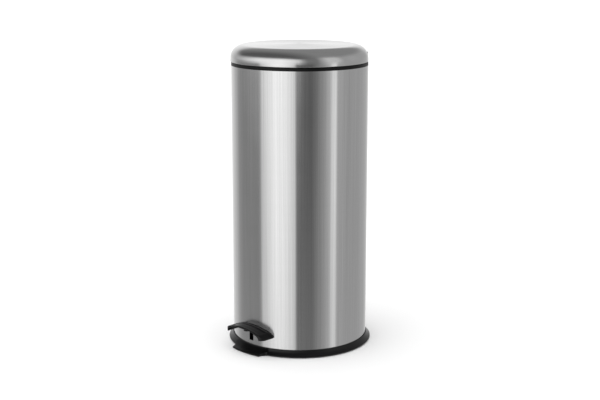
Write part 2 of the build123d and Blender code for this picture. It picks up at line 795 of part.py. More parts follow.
with BuildPart() as lid_shell:
    revolve(lid_section(0), axis=lid_axis)
    revolve(lid_section(lid_sheet), axis=lid_axis, mode=Mode.SUBTRACT)
    with Locations((0, body_radius, lid_edge + lid_liner_depth / 2)):
        Box(2 * (hub_half_width + 1.5), 20.0, lid_liner_depth + 1.0, mode=Mode.SUBTRACT)
lid_shell.part.label = "lid_shell"
export_step(lid_shell.part, "parts/lid_shell.step")

arm_plate = 4.0
arm_front = hinge_y - 52.0
arm_screw_places = [(-9.0, arm_front + 9.0, 0), (9.0, arm_front + 9.0, 0), (0, arm_front + 20.0, 0)]
liner_rib = 100.0
liner_rib_depth = 2.5
liner_rib_width = 3.0
liner_top = liner_under + liner_thickness
liner_wall_height = 4.0
with BuildPart() as lid_liner:
    with Locations((0, lid_shift, 0)):
        post(liner_radius, liner_under, liner_under + liner_thickness)
        post(liner_rib + liner_rib_width, liner_under - liner_rib_depth, liner_under)
        post(liner_rib, liner_under - liner_rib_depth, liner_under, Mode.SUBTRACT)
        post(liner_radius, liner_top, liner_top + liner_wall_height)
        post(liner_radius - liner_thickness, liner_top, liner_top + liner_wall_height, Mode.SUBTRACT)
    with Locations(*arm_screw_places):
        post(boss_radius, liner_under, liner_under + 8.0)
        post(small_screw_radius, liner_under, liner_under + 7.0, Mode.SUBTRACT)
    with Locations((0, hinge_y - 10.0, liner_under + 3.0)):
        Box(2 * (hub_half_width + 1.5), 12.0, 10.0, mode=Mode.SUBTRACT)
lid_liner.part.label = "lid_liner"
export_step(lid_liner.part, "parts/lid_liner.step")

bumper_radius = 4.0
bumper_angles = (30, 150, 270)
with BuildPart() as lid_bumpers:
    for angle in bumper_angles:
        with Locations((0, lid_shift, 0)):
            with PolarLocations(body_radius - 7.5, 1, start_angle=angle):
                post(bumper_radius, rim_top + hole_gap, liner_under)
lid_bumpers.part.label = "lid_bumpers"
export_step(lid_bumpers.part, "parts/lid_bumpers.step")

crank_inside = blade_half + 1.2
crank_outside = crank_inside + 4.0
arm_hub = hinge_pin_radius + 3.5
crank_eye = crank_pin_radius + 2.0
head_room = 16.0  # past the crank pin, where the rod's head swings between the cranks
with BuildPart() as lid_arm:
    with BuildSketch(Plane.YZ):
        with Locations((hinge_y, hinge_z)):
            Circle(arm_hub)
        with Locations((crank_y, crank_z)):
            Circle(crank_eye)
        make_hull()
    extrude(amount=crank_outside, both=True)
    with Locations((0, (arm_front + hinge_y) / 2, liner_under - arm_plate / 2)):
        Box(2 * hub_half_width, hinge_y - arm_front, arm_plate)
    with Locations((0, hinge_y, hinge_z)):
        pin(crank_radius + head_room, -crank_inside, crank_inside, Mode.SUBTRACT)
        pin(arm_hub, -hub_half_width, hub_half_width)
        pin(hinge_pin_radius + hinge_bush_wall, -hub_half_width, hub_half_width, Mode.SUBTRACT)
    with Locations((0, crank_y, crank_z)):
        pin(crank_pin_radius, -crank_outside, crank_outside, Mode.SUBTRACT)
    with Locations(*arm_screw_places):
        post(small_screw_radius + hole_gap, liner_under - arm_plate, liner_under, Mode.SUBTRACT)
lid_arm.part.label = "lid_arm"
export_step(lid_arm.part, "parts/lid_arm.step")

with BuildPart() as hinge_bush:
    with Locations((0, hinge_y, hinge_z)):
        pin(hinge_pin_radius + hinge_bush_wall, -hub_half_width, hub_half_width)
        pin(hinge_pin_radius + running_gap, -hub_half_width, hub_half_width, Mode.SUBTRACT)
hinge_bush.part.label = "hinge_bush"
export_step(hinge_bush.part, "parts/hinge_bush.step")

with BuildPart() as crank_pin:
    with Locations((0, crank_y, crank_z)):
        pin(crank_pin_radius, -crank_outside, crank_outside)
crank_pin.part.label = "crank_pin"
export_step(crank_pin.part, "parts/crank_pin.step")

with BuildPart() as arm_screws:
    with Locations(*arm_screw_places):
        post(small_screw_radius, liner_under - arm_plate, liner_under + 6.0)
        post(small_head_radius, liner_under - arm_plate - small_head_height, liner_under - arm_plate)
arm_screws.part.label = "arm_screws"
export_step(arm_screws.part, "parts/arm_screws.step")

with BuildPart() as hinge_pin:
    with Locations((0, hinge_y, hinge_z)):
        pin(hinge_pin_radius, -housing_half_width + 2.0, housing_half_width - 2.0)
hinge_pin.part.label = "hinge_pin"
export_step(hinge_pin.part, "parts/hinge_pin.step")

# ---------------------------------------------------------------- bucket and its bail

bucket_floor_radius = bucket_top_radius - bucket_taper
bucket_section = [
    (0, bucket_floor_height),
    (bucket_floor_radius - 5.0, bucket_floor_height),
    (bucket_floor_radius, bucket_floor_height + 5.0),
    (bucket_top_radius, bucket_shelf),
    (bucket_flange_radius, bucket_shelf),
    (bucket_flange_radius, flange_top),
    (bucket_top_radius - bucket_wall, flange_top),
    (bucket_floor_radius - bucket_wall, bucket_floor_height + 6.0),
    (bucket_floor_radius - bucket_wall - 4.0, bucket_floor_height + bucket_wall),
    (0, bucket_floor_height + bucket_wall),
]
ear_outside = bail_radius - bail_wire - 0.4
ear_thickness = 3.4
ear_width = 10.0
ear_top = bail_z + 3.6
ear_foot = flange_top - 1.0
with BuildPart() as bucket:
    revolve(outline(Plane.XZ, bucket_section), axis=Axis.Z)
    for side in (-1, 1):
        with Locations((side * (ear_outside - ear_thickness / 2), 0, (ear_foot + ear_top) / 2)):
            Box(ear_thickness, ear_width, ear_top - ear_foot)
    with Locations((0, 0, bail_z)):
        pin(bail_wire + running_gap, -bucket_flange_radius, bucket_flange_radius, Mode.SUBTRACT)
bucket.part.label = "bucket"
export_step(bucket.part, "parts/bucket.step")

bail_end = ear_outside - ear_thickness - 1.2
with BuildPart() as bucket_bail:
    with BuildSketch(Plane.XZ):
        with Locations((bail_radius, bail_z)):
            Circle(bail_wire)
    revolve(axis=Axis.Z, revolution_arc=-180)
    for side in (-1, 1):
        with Locations((0, 0, bail_z)):
            pin(bail_wire, side * bail_end, side * bail_radius)
        with Locations((side * bail_radius, 0, bail_z)):
            Sphere(bail_wire)
bucket_bail.part.label = "bucket_bail"
export_step(bucket_bail.part, "parts/bucket_bail.step")

grip_half_angle = 24.0
grip_start = radians(-90.0 - grip_half_angle)
grip_plane = Plane(
    origin=(0, 0, 0),
    x_dir=(cos(grip_start), sin(grip_start), 0),
    z_dir=(sin(grip_start), -cos(grip_start), 0),
)
with BuildPart() as bail_grip:
    with BuildSketch(grip_plane):
        with Locations((bail_radius, bail_z)):
            Circle(bail_grip_radius)
            Circle(bail_wire, mode=Mode.SUBTRACT)
    revolve(axis=Axis.Z, revolution_arc=2 * grip_half_angle)
bail_grip.part.label = "bail_grip"
export_step(bail_grip.part, "parts/bail_grip.step")

print("lever turns", round(lever_angle, 3), "rod lifts", round(rod_lift, 3))
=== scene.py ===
import json
import math

import bpy
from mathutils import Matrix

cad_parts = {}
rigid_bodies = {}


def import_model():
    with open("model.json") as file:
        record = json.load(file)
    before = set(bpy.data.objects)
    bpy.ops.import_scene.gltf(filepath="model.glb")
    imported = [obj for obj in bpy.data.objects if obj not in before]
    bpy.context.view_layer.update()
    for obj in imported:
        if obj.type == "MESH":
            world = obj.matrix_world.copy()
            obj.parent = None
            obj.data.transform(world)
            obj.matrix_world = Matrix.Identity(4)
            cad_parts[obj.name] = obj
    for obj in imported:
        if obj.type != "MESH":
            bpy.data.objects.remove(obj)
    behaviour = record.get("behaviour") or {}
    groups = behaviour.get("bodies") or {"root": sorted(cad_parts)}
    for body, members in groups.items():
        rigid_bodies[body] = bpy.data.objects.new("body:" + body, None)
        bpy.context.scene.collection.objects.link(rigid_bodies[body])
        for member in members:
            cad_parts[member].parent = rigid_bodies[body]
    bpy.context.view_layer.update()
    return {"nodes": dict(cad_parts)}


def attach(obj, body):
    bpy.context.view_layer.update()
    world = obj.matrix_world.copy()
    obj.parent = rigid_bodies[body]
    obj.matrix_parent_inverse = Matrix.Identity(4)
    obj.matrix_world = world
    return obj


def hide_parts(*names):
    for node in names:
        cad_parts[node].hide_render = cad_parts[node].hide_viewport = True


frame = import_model()
nodes = frame["nodes"]
bpy.ops.object.select_all(action="DESELECT")

# ---------------------------------------------------------------- Foot ring
# The black ring the bin stands on: moulded in polypropylene, hollow-sloped outside so the floor can be
# wiped up to it. A thin tongue runs out in front, under the pedal, to stop the bin tipping when trodden on.

ring_ledge = 0.0080
ring_top = 0.0155
ring_under = 0.0010
ring_bore = 0.1280
ring_edge = 0.1565
slope_foot = 0.0040
body_seat = 0.1468
tongue_tip = 0.1695
tongue_start = 0.1475
tip_fullness = 0.0005
foot_circle, foot_recess = 0.141, 0.0093
front_foot, front_recess = (0.0, -0.1585), 0.0063
recess_top = 0.0030
screw_circle, screw_recess, screw_seat = 0.1345, 0.0039, 0.0040
below_ring = -0.001


def through(start, middle, end, count):
    """Points along the circular curve from start, through middle, to end."""
    (ax, ay), (bx, by), (cx, cy) = start, middle, end
    twice = 2.0 * (ax * (by - cy) + bx * (cy - ay) + cx * (ay - by))
    a, b, c = ax * ax + ay * ay, bx * bx + by * by, cx * cx + cy * cy
    ox = (a * (by - cy) + b * (cy - ay) + c * (ay - by)) / twice
    oy = (a * (cx - bx) + b * (ax - cx) + c * (bx - ax)) / twice
    radius = math.hypot(ax - ox, ay - oy)
    first = math.atan2(ay - oy, ax - ox)
    half = math.remainder(math.atan2(by - oy, bx - ox) - first, 2.0 * math.pi)
    rest = math.remainder(math.atan2(cy - oy, cx - ox) - first - half, 2.0 * math.pi)
    turns = [first + (half + rest) * n / count for n in range(count + 1)]
    return [(ox + radius * math.cos(t), oy + radius * math.sin(t)) for t in turns]


def draw(name, points):
    """A chain of edges through the points, left open for shaping in edit mode."""
    bpy.ops.object.select_all(action="DESELECT")
    bpy.ops.mesh.primitive_plane_add(size=0.001)
    piece = bpy.context.object
    piece.name = name
    bpy.ops.object.mode_set(mode="EDIT")
    bpy.ops.mesh.merge(type="CENTER")
    bpy.ops.transform.translate(value=points[0])
    for here, there in zip(points, points[1:]):
        step = [b - a for a, b in zip(here, there)]
        bpy.ops.mesh.extrude_vertices_move(TRANSFORM_OT_translate={"value": step})
    bpy.ops.mesh.select_all(action="SELECT")
    return piece


def close_up(piece):
    """Merges doubled points, turns every face outwards and leaves edit mode."""
    bpy.ops.mesh.select_all(action="SELECT")
    bpy.ops.mesh.remove_doubles(threshold=1e-6)
    bpy.ops.mesh.normals_make_consistent(inside=False)
    bpy.ops.object.mode_set(mode="OBJECT")
    return piece


def turned(name, profile, steps=240, middle_y=0.0):
    """A piece turned on a lathe from a closed profile of (radius, height)."""
    points = [(r, middle_y, z) for r, z in profile + profile[:1]]
    piece = draw(name, points)
    middle = (0.0, middle_y, 0.0)
    bpy.ops.mesh.spin(steps=steps, angle=2.0 * math.pi, center=middle, axis=(0.0, 0.0, 1.0))
    return close_up(piece)


def pulled(name, outline, low, high, along="Z"):
    """A closed outline pulled straight along an axis, from low to high."""
    place = {
        "X": lambda u, v, w: (w, u, v),
        "Y": lambda u, v, w: (u, w, v),
        "Z": lambda u, v, w: (u, v, w),
    }
    piece = draw(name, [place[along](u, v, low) for u, v in outline])
    bpy.ops.mesh.edge_face_add()
    bpy.ops.mesh.extrude_region_move(
        TRANSFORM_OT_translate={"value": place[along](0.0, 0.0, high - low)}
    )
    return close_up(piece)


def finish_modifier(piece, modifier):
    """Applies the modifier, so that its result is the piece's own mesh."""
    bpy.context.view_layer.objects.active = piece
    bpy.ops.object.modifier_apply(modifier=modifier.name)


def joined(piece, tool, operation):
    """Cuts, keeps or welds one piece with another, which is used up."""
    work = piece.modifiers.new("work", "BOOLEAN")
    work.operation = operation
    work.solver = "EXACT"
    work.object = tool
    finish_modifier(piece, work)
    bpy.data.objects.remove(tool)
    return piece


def smooth(piece, degrees=32.0):
    """Shades the curved faces smooth and leaves the real edges sharp."""
    bpy.ops.object.select_all(action="DESELECT")
    piece.select_set(True)
    bpy.context.view_layer.objects.active = piece
    bpy.ops.object.shade_smooth_by_angle(angle=math.radians(degrees))
    bpy.ops.object.select_all(action="DESELECT")


def dress(piece, finish):
    """Gives the piece its one finish."""
    piece.data.materials.clear()
    piece.data.materials.append(finish)


def drilled(piece, places, radius, low, high):
    """Round upright holes at the (x, y) places."""
    for x, y in places:
        bpy.ops.mesh.primitive_circle_add(
            vertices=40, radius=radius, location=(x, y, low), fill_type="NGON"
        )
        drill = bpy.context.object
        bpy.ops.object.mode_set(mode="EDIT")
        bpy.ops.mesh.extrude_region_move(TRANSFORM_OT_translate={"value": (0.0, 0.0, high - low)})
        bpy.ops.mesh.select_all(action="SELECT")
        bpy.ops.mesh.normals_make_consistent(inside=False)
        bpy.ops.object.mode_set(mode="OBJECT")
        joined(piece, drill, "DIFFERENCE")


def speckle(made, where, scale, detail):
    """A cloudy pattern at the places that come in."""
    noise = made.nodes.new("ShaderNodeTexNoise")
    noise.inputs["Scale"].default_value = scale
    noise.inputs["Detail"].default_value = detail
    made.links.new(where, noise.inputs["Vector"])
    return noise


def stretched(made, pattern, low, high, new_low, new_high):
    """The pattern's strength, stretched from between low and high to between the new ones."""
    stretch = made.nodes.new("ShaderNodeMapRange")
    stretch.inputs["From Min"].default_value = low
    stretch.inputs["From Max"].default_value = high
    stretch.inputs["To Min"].default_value = new_low
    stretch.inputs["To Max"].default_value = new_high
    made.links.new(pattern.outputs["Fac"], stretch.inputs["Value"])
    return stretch.outputs["Result"]


def toned(made, shader, factor, colour, darker, lighter):
    """Colours the piece between a darker and a lighter shade of its colour."""
    tone = made.nodes.new("ShaderNodeMix")
    tone.data_type = "RGBA"
    tone.inputs["A"].default_value = (*[c * darker for c in colour], 1.0)
    tone.inputs["B"].default_value = (*[c * lighter for c in colour], 1.0)
    made.links.new(factor, tone.inputs["Factor"])
    made.links.new(tone.outputs["Result"], shader.inputs["Base Color"])


def embossed(made, shader, pattern, strength, depth):
    """Raises and sinks the surface by the pattern."""
    raised = made.nodes.new("ShaderNodeBump")
    raised.inputs["Strength"].default_value = strength
    raised.inputs["Distance"].default_value = depth
    made.links.new(pattern.outputs["Fac"], raised.inputs["Height"])
    made.links.new(raised.outputs["Normal"], shader.inputs["Normal"])


def moulded(name, colour, roughness, grain, grain_depth, gloss=0.5):
    """Moulded plastic: a fine eroded grain, faint clouding from wiping and a few rubbed places."""
    finish = bpy.data.materials.new(name)
    finish.use_nodes = True
    made = finish.node_tree
    shader = made.nodes["Principled BSDF"]
    shader.inputs["Specular IOR Level"].default_value = gloss
    where = made.nodes.new("ShaderNodeTexCoord").outputs["Object"]
    fine = speckle(made, where, scale=grain, detail=3.0)
    cloud = speckle(made, where, scale=24.0, detail=6.0)
    cloud.inputs["Distortion"].default_value = 0.4
    toned(made, shader, cloud.outputs["Fac"], colour, darker=0.86, lighter=1.16)
    rough = stretched(made, cloud, 0.3, 0.7, roughness * 0.88, min(1.0, roughness * 1.12))
    made.links.new(rough, shader.inputs["Roughness"])
    embossed(made, shader, fine, strength=grain_depth, depth=0.0003)
    return finish


def out_from_axis(radius, degrees):
    """A place that far out, at that bearing from straight in front of the pedal."""
    return (radius * math.sin(math.radians(degrees)), -radius * math.cos(math.radians(degrees)))


def ringed(radius, angles, middle=(0.0, 0.0)):
    """Places round a circle, one at each angle in degrees."""
    turns = [math.radians(a) for a in angles]
    return [(middle[0] + radius * math.cos(t), middle[1] + radius * math.sin(t)) for t in turns]


slope = through((ring_edge, slope_foot), (0.1519, 0.0086), (0.1485, 0.0151), 14)
heel = through((0.1535, ring_under), (0.15562, 0.00188), (ring_edge, slope_foot), 6)
foot_ring = turned("foot_ring", [
    (ring_bore, ring_ledge), (ring_bore, 0.0014), (0.1284, ring_under), *heel, *slope[1:],
    (0.1481, ring_top), (0.1471, ring_top), (body_seat, 0.0151), (body_seat, ring_ledge),
])
tongue = turned("tongue", [
    (tongue_start, ring_under), (tongue_start, 0.0150),
    *through((0.1486, 0.0144), (0.1555, 0.0089), (0.1676, 0.0042), 12),
    *through((0.1680, 0.0040), (0.1691, 0.0033), (tongue_tip, 0.0022), 4),
    (tongue_tip, 0.0014), (0.1691, ring_under),
])
tip_corner, root = 14.0, 18.6
right_side = through(
    out_from_axis(tongue_tip, tip_corner), out_from_axis(0.1607, root - 3.1),
    out_from_axis(0.1555, root), 10
)
left_side = [(-x, y) for x, y in reversed(right_side)]
full_tip = tongue_tip + tip_fullness
tip = through(out_from_axis(full_tip, -tip_corner), (0.0, -full_tip), out_from_axis(full_tip, tip_corner), 16)
tongue_plan = pulled("tongue_plan", [*left_side, *tip[1:-1], *right_side, (0.0, 0.0)], 0.0, 0.02)
joined(tongue, tongue_plan, "INTERSECT")
joined(foot_ring, tongue, "UNION")
drilled(foot_ring, ringed(foot_circle, (45, 135, 225, 315)), foot_recess, below_ring, recess_top)
drilled(foot_ring, [front_foot], front_recess, below_ring, recess_top)
drilled(foot_ring, ringed(screw_circle, range(0, 360, 60)), screw_recess, below_ring, screw_seat)
smooth(foot_ring)
ring_plastic = moulded("foot_ring_polypropylene", (0.0032, 0.0032, 0.0034), 0.30, 1300.0, 0.08, gloss=0.3)
dress(foot_ring, ring_plastic)
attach(foot_ring, "bin")
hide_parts("base_ring")

# ---------------------------------------------------------------- Rubber feet
# Four round pads and a smaller one under the tongue, punched from dark grey rubber sheet and glued into
# recesses in the foot ring. The rubber is dull and picks up floor dust.

foot_rubber = moulded("foot_rubber", (0.022, 0.021, 0.020), 0.86, 700.0, 0.5, gloss=0.3)
dress(nodes["rubber_feet"], foot_rubber)

# ---------------------------------------------------------------- Base plate and its screws
# A grey recycled-plastic disc with a stiffening rib. It closes the body underneath and six pan-head
# screws, zinc plated, come up through the foot ring into its bosses.


def plated(name, colour, roughness, spangle, scale):
    """Plated or bare metal: cloudy crystals of slightly different tone, and fine scuffs."""
    finish = bpy.data.materials.new(name)
    finish.use_nodes = True
    made = finish.node_tree
    shader = made.nodes["Principled BSDF"]
    shader.inputs["Metallic"].default_value = 1.0
    where = made.nodes.new("ShaderNodeTexCoord").outputs["Object"]
    cells = made.nodes.new("ShaderNodeTexVoronoi")
    cells.inputs["Scale"].default_value = scale
    made.links.new(where, cells.inputs["Vector"])
    scuffs = speckle(made, where, scale=scale * 3.0, detail=6.0)
    toned(made, shader, cells.outputs["Color"], colour, darker=1.0 - spangle, lighter=1.0 + spangle)
    rough = stretched(made, scuffs, 0.3, 0.7, roughness * 0.8, roughness * 1.25)
    made.links.new(rough, shader.inputs["Roughness"])
    embossed(made, shader, scuffs, strength=0.12, depth=0.0001)
    return finish


plate_plastic = moulded("recycled_grey_plastic", (0.085, 0.088, 0.092), 0.55, 900.0, 0.25)
dress(nodes["base_plate"], plate_plastic)
screw_zinc = plated("screw_zinc", (0.62, 0.62, 0.58), 0.33, 0.06, 900.0)
dress(nodes["base_screws"], screw_zinc)

# ---------------------------------------------------------------- Lever bearing
# A pressed bracket of zinc-plated sheet, riveted to the base plate. Its two ears hold a bright steel
# axle with a spring clip, and the lever turns on a natural nylon bush.

sheet_zinc = plated("sheet_zinc", (0.56, 0.57, 0.56), 0.42, 0.10, 260.0)
bright_steel = plated("bright_drawn_steel", (0.64, 0.64, 0.63), 0.20, 0.03, 1200.0)
natural_nylon = moulded("natural_nylon", (0.62, 0.60, 0.53), 0.42, 1100.0, 0.05)
dress(nodes["lever_bracket"], sheet_zinc)
dress(nodes["bracket_rivets"], screw_zinc)
dress(nodes["lever_axle"], bright_steel)
dress(nodes["axle_clip"], screw_zinc)
dress(nodes["lever_bush"], natural_nylon)

# ---------------------------------------------------------------- Pedal lever
# A flat steel bar on edge, bent up to the pedal and welded to its hub and to the shoe under the pedal.
# It is dipped in black paint after welding, which covers with a faint orange peel.

lever_paint = moulded("lever_paint", (0.007, 0.007, 0.0075), 0.38, 420.0, 0.06)
dress(nodes["pedal_lever"], lever_paint)

# ---------------------------------------------------------------- Pedal
# A half-moon foot plate moulded in black plastic over the lever's shoe: a low arch on two short legs, with a
# sunk tread inside a raised rim. Two screws from below hold it to the shoe.

pedal_reach, pedal_half_width = 0.1750, 0.059
pedal_ends = (-0.180, -0.118)
body_room, pedal_cut_height = 0.148, 0.1
crown = through((-0.041, 0.053), (0.0, 0.060), (0.041, 0.053), 24)[12:]
turn_down = through((0.041, 0.053), (0.052, 0.0475), (pedal_half_width, 0.0405), 8)[1:]
inside_leg = through((0.0475, 0.039), (0.0443, 0.0465), (0.0385, 0.0495), 8)
inside_roof = through((0.0385, 0.0495), (0.0295, 0.0531), (0.020, 0.0555), 8)[1:]
half_section = [*crown, *turn_down, (0.0575, 0.039), *inside_leg, *inside_roof]
section = half_section + [(-x, z) for x, z in reversed(half_section) if x > 0.0]
front_edge = through((0.041, -0.1734), (0.0, -pedal_reach), (-0.041, -0.1734), 24)[:13]
side_edge = through((pedal_half_width, -0.158), (0.054, -0.167), (0.041, -0.1734), 10)
half_plan = [(pedal_half_width, -0.120), *side_edge, *front_edge[1:]]
plan = half_plan + [(-x, y) for x, y in reversed(half_plan) if x > 1e-6]
pedal_cover = pulled("pedal_cover", section, *pedal_ends, along="Y")
joined(pedal_cover, pulled("pedal_plan", plan, 0.030, 0.070), "INTERSECT")
body_side = turned("body_side", [
    (0.0, 0.0), (body_room, 0.0), (body_room, pedal_cut_height), (0.0, pedal_cut_height),
], steps=160)
joined(pedal_cover, body_side, "DIFFERENCE")
sunk = through((-0.050, 0.0475), (0.0, 0.0590), (0.050, 0.0475), 32)
tread = pulled("tread", [*sunk, (0.050, 0.075), (-0.050, 0.075)], *pedal_ends, along="Y")
tread_front = through((0.046, -0.1665), (0.0, -0.1715), (-0.046, -0.1665), 24)
tread_back = through((-0.046, -0.1480), (0.0, -0.1530), (0.046, -0.1480), 24)
joined(tread, pulled("tread_plan", [*tread_front, *tread_back], 0.030, 0.080), "INTERSECT")
joined(pedal_cover, tread, "DIFFERENCE")


def eased(piece, grid, passes):
    """Evens the mesh out and softens every edge a little, as a moulding's tool radius does."""
    even = piece.modifiers.new("even", "REMESH")
    even.mode = "VOXEL"
    even.voxel_size = grid
    finish_modifier(piece, even)
    ease = piece.modifiers.new("ease", "SMOOTH")
    ease.factor = 0.5
    ease.iterations = passes
    finish_modifier(piece, ease)
    smooth(piece, 60.0)


eased(pedal_cover, 0.0006, 10)
pedal_plastic = moulded("pedal_plastic", (0.0032, 0.0032, 0.0034), 0.34, 1500.0, 0.12, gloss=0.3)
dress(pedal_cover, pedal_plastic)
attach(pedal_cover, "pedal_arm")
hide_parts("pedal")
dress(nodes["pedal_screws"], screw_zinc)

# ---------------------------------------------------------------- Push rod and its guides
# A straight zinc-plated rod up the back of the body, forked at the foot round the lever's pin and
# flattened at its head round the lid's crank. Two nylon guides, riveted to the body, keep it upright.

dress(nodes["push_rod"], sheet_zinc)
dress(nodes["lever_pin"], bright_steel)
dress(nodes["lower_rod_guide"], natural_nylon)
dress(nodes["upper_rod_guide"], natural_nylon)
dress(nodes["guide_rivets"], bright_steel)

# ---------------------------------------------------------------- Damper
# A small oil damper beside the push rod that lets the lid close softly: a dark barrel in two grey clips,
# with a nylon cap, a bright rod and an arm to the push rod.

barrel_plastic = moulded("damper_barrel", (0.018, 0.019, 0.021), 0.30, 1600.0, 0.04)
dress(nodes["damper_cylinder"], barrel_plastic)
dress(nodes["damper_cap"], natural_nylon)
dress(nodes["damper_rod"], bright_steel)
dress(nodes["damper_arm"], sheet_zinc)
clip_plastic = moulded("damper_clip_grey", (0.16, 0.165, 0.17), 0.45, 1200.0, 0.08)
dress(nodes["damper_clips"], clip_plastic)

# ---------------------------------------------------------------- Steel body
# One sheet of stainless steel, polished round and round to a fine satin grain, rolled into a tube and
# butt welded down the back, with the weld ground nearly flush. It is punched for the lever and the rivets.

weld_half_width = 0.0009


def reckoned(made, operation, *values):
    """A sum on sockets and numbers, in the order given."""
    sum_node = made.nodes.new("ShaderNodeMath")
    sum_node.operation = operation
    for value, socket in zip(values, sum_node.inputs):
        if isinstance(value, float):
            socket.default_value = value
        else:
            made.links.new(value, socket)
    return sum_node.outputs["Value"]


def brushed(name, grey, roughness, anisotropy, scale, lines, weld):
    """Satin stainless steel: hair-fine streaks round the piece, faint upright mill lines, fingermarks."""
    finish = bpy.data.materials.new(name)
    finish.use_nodes = True
    made = finish.node_tree
    shader = made.nodes["Principled BSDF"]
    shader.inputs["Metallic"].default_value = 1.0
    shader.inputs["Anisotropic"].default_value = anisotropy
    shader.inputs["Anisotropic Rotation"].default_value = 0.25
    where = made.nodes.new("ShaderNodeTexCoord").outputs["Object"]
    apart = made.nodes.new("ShaderNodeSeparateXYZ")
    made.links.new(where, apart.inputs["Vector"])
    flat = made.nodes.new("ShaderNodeVectorMath")
    flat.operation = "MULTIPLY"
    flat.inputs[1].default_value = (1.0, 1.0, 0.0)
    made.links.new(where, flat.inputs[0])
    far = made.nodes.new("ShaderNodeVectorMath")
    far.operation = "LENGTH"
    made.links.new(flat.outputs["Vector"], far.inputs[0])
    hair = made.nodes.new("ShaderNodeCombineXYZ")
    made.links.new(far.outputs["Value"], hair.inputs["X"])
    made.links.new(reckoned(made, "MULTIPLY", apart.outputs["X"], 0.004), hair.inputs["Y"])
    made.links.new(apart.outputs["Z"], hair.inputs["Z"])
    streaks = speckle(made, hair.outputs["Vector"], scale=scale, detail=4.0)
    streaks.inputs["Roughness"].default_value = 0.6
    tone = stretched(made, streaks, 0.3, 0.7, grey * 0.975, grey * 1.025)
    upright = made.nodes.new("ShaderNodeMapping")
    upright.inputs["Scale"].default_value = (420.0, 420.0, 2.5)
    made.links.new(where, upright.inputs["Vector"])
    mill_lines = speckle(made, upright.outputs["Vector"], scale=1.0, detail=3.0)
    faint = stretched(made, mill_lines, 0.3, 0.7, 1.0 - lines, 1.0 + lines)
    made.links.new(reckoned(made, "MULTIPLY", tone, faint), shader.inputs["Base Color"])
    marks = speckle(made, where, scale=14.0, detail=5.0)
    rough = stretched(made, marks, 0.35, 0.75, roughness, roughness * 1.15)
    if weld:
        near = reckoned(made, "LESS_THAN", reckoned(made, "ABSOLUTE", apart.outputs["X"]), weld_half_width)
        behind = reckoned(made, "GREATER_THAN", apart.outputs["Y"], 0.0)
        bead = reckoned(made, "MULTIPLY", near, behind)
        rough = reckoned(made, "MULTIPLY_ADD", bead, 0.22, rough)
    made.links.new(rough, shader.inputs["Roughness"])
    embossed(made, shader, streaks, strength=0.04, depth=0.0002)
    grain_way = made.nodes.new("ShaderNodeTangent")
    grain_way.direction_type = "RADIAL"
    grain_way.axis = "Z"
    made.links.new(grain_way.outputs["Tangent"], shader.inputs["Tangent"])
    return finish


body_steel = brushed("body_satin_steel", 0.62, 0.125, 1.0, 1400.0, lines=0.055, weld=True)
dress(nodes["body_shell"], body_steel)

# ---------------------------------------------------------------- Rim collar
# A black collar pressed into the top of the steel, showing as a narrow band. Its inner shelf carries the
# bucket by the flange, and it is notched at the back for the lid's crank.

rim_top, rim_band, shelf_under, skirt_foot = 0.6122, 0.6050, 0.6000, 0.5800
notch_half_width = 0.010
rim_collar = turned("rim_collar", [
    (0.1456, 0.5804), (0.1456, rim_band), (0.1460, rim_band),
    *through((0.1460, 0.6112), (0.14572, 0.61192), (0.1450, rim_top), 4),
    *through((0.1350, rim_top), (0.13428, 0.61192), (0.1340, 0.6112), 4),
    (0.1340, 0.6030), (0.1284, 0.6030), (0.1280, 0.6026), (0.1280, 0.6004), (0.1284, shelf_under),
    (0.1365, shelf_under), (0.1365, 0.6095), (0.1426, 0.6095), (0.1426, skirt_foot), (0.1452, skirt_foot),
])
notch = [
    (-notch_half_width, 0.1331), (notch_half_width, 0.1331),
    (notch_half_width, 0.16), (-notch_half_width, 0.16),
]
joined(rim_collar, pulled("cut", notch, 0.570, 0.620), "DIFFERENCE")
smooth(rim_collar)
collar_plastic = moulded("collar_plastic", (0.0016, 0.0016, 0.0017), 0.42, 1400.0, 0.10, gloss=0.22)
dress(rim_collar, collar_plastic)
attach(rim_collar, "bin")
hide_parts("top_rim")

# ---------------------------------------------------------------- Hinge housing
# A black moulded housing screwed to the back of the steel. It carries the lid's hinge pin between its
# cheeks, and the hollow under it is a finger grip for moving the bin.

housing_back, housing_foot, housing_top = 0.1750, 0.5562, 0.6255
hinge_y, hinge_z = 0.1560, 0.6180
housing_half_width, housing_corner, corner_middle = 0.046, 0.013, 0.0038
housing_front, cheek, collar_room = 0.1371, 0.0075, 0.6116
saddle_radius, grip_half_width, chamber_half_width = 0.1467, 0.038, 0.0155
housing_side = [
    (housing_front, housing_foot), (housing_back - 0.006, housing_foot), (housing_back, housing_foot + 0.010),
    *through((housing_back, housing_top - 0.013), (housing_back - 0.0034, housing_top - 0.0042),
             (housing_back - 0.011, housing_top), 8),
    *through((hinge_y - 0.0036, housing_top), (hinge_y - 0.0062, hinge_z + 0.0062),
             (hinge_y - cheek, hinge_z + 0.0036), 4),
    (hinge_y - cheek, collar_room), (housing_front, collar_room),
]
hinge_housing = pulled(
    "hinge_housing", housing_side, -housing_half_width, housing_half_width, along="X"
)
corner = through(
    (housing_half_width, housing_back - housing_corner),
    (housing_half_width - corner_middle, housing_back - corner_middle),
    (housing_half_width - housing_corner, housing_back), 10
)
housing_plan = [(-housing_half_width, 0.115), (housing_half_width, 0.115), *corner]
housing_plan += [(-x, y) for x, y in reversed(corner)]
joined(hinge_housing, pulled("housing_plan", housing_plan, 0.50, 0.65), "INTERSECT")
saddle = turned("saddle", [
    (0.0, 0.4), (saddle_radius, 0.4), (saddle_radius, collar_room), (0.0, collar_room),
], steps=160)
joined(hinge_housing, saddle, "DIFFERENCE")
grip = [
    (-grip_half_width, 0.1515), (grip_half_width, 0.1515),
    (grip_half_width, 0.170), (-grip_half_width, 0.170),
]
joined(hinge_housing, pulled("grip", grip, 0.550, 0.5912), "DIFFERENCE")
